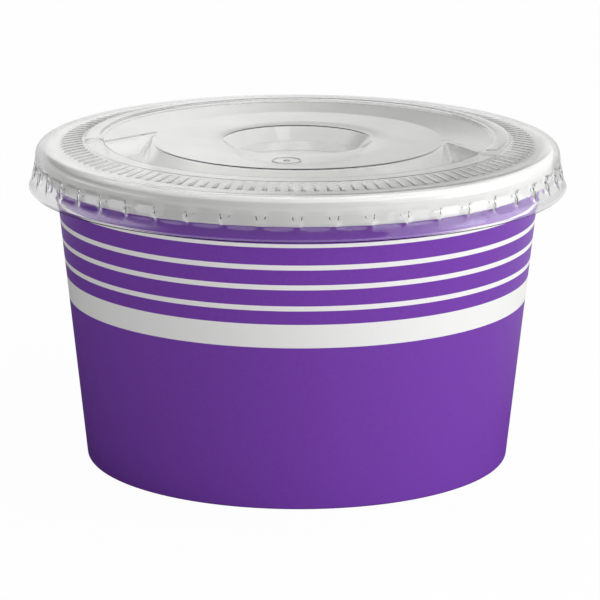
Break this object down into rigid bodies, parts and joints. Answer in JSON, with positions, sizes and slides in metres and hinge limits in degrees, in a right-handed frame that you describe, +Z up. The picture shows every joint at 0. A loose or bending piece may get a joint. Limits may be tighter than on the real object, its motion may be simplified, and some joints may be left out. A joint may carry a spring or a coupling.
{
  "type": "paper dessert cup",
  "caption": "Low tapered paper cup with a rolled rim and recessed bottom, closed by a clear thermoformed snap lid with a ribbed ring and centre dimple",
  "frame": {"origin": "middle of the ring that the cup stands on", "axes": "+Z up along the cup's axis, -Y towards the front that the picture shows, +X to its right"},
  "size_m": [0.1004, 0.1004, 0.0608],
  "materials": {
    "printed_board": "smooth coated board printed with purple and white bands",
    "white_board": "smooth coated white board",
    "clear_film": "clear glossy thermoformed sheet"
  },
  "bodies": {
    "cup": {"cup_wall": "printed_board", "cup_base": "white_board"},
    "lid": {"lid": "clear_film"}
  },
  "joints": [
    {"name": "lid_lift", "type": "slide", "parent": "cup", "child": "lid", "axis": [0, 0, 1], "range_m": [0, 0.04]}
  ]
}
